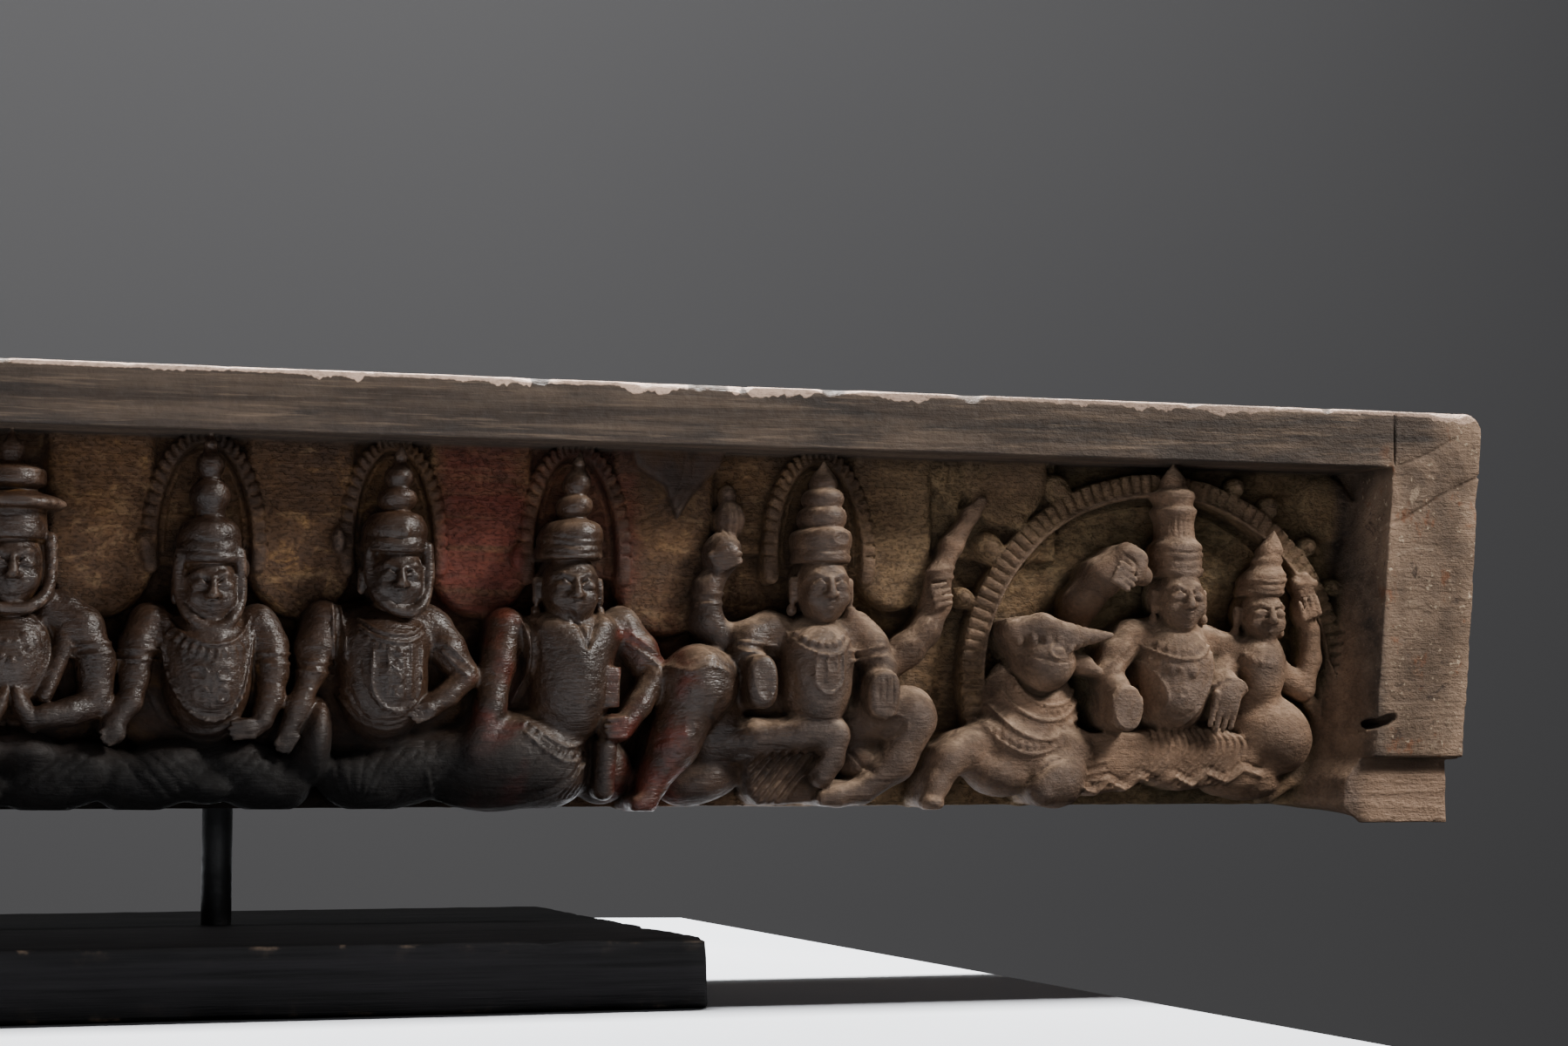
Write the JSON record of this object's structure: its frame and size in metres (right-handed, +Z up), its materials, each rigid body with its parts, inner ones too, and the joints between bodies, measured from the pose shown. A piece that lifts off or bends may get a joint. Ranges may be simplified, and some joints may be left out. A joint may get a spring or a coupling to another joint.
{
  "type": "carved wooden relief lintel on a stand",
  "caption": "Long weathered wooden lintel panel carved in deep relief with seated deities under haloes, on two black steel rods and a black wooden base.",
  "frame": {"origin": "on the floor, under the middle of the base and of the panel", "axes": "+X along the panel to the viewer's right, +Y from the carved front to the plain back, +Z up"},
  "size_m": [1.4234, 0.29, 0.262],
  "materials": {
    "carved_wood": "weathered, dark patina with traces of old paint",
    "base_wood": "black stain, matt, worn edges",
    "rod_metal": "matt black"
  },
  "bodies": {
    "root": {"carved_panel": "carved_wood", "stand_base": "base_wood", "stand_rod_left": "rod_metal", "stand_rod_right": "rod_metal"}
  },
  "joints": []
}
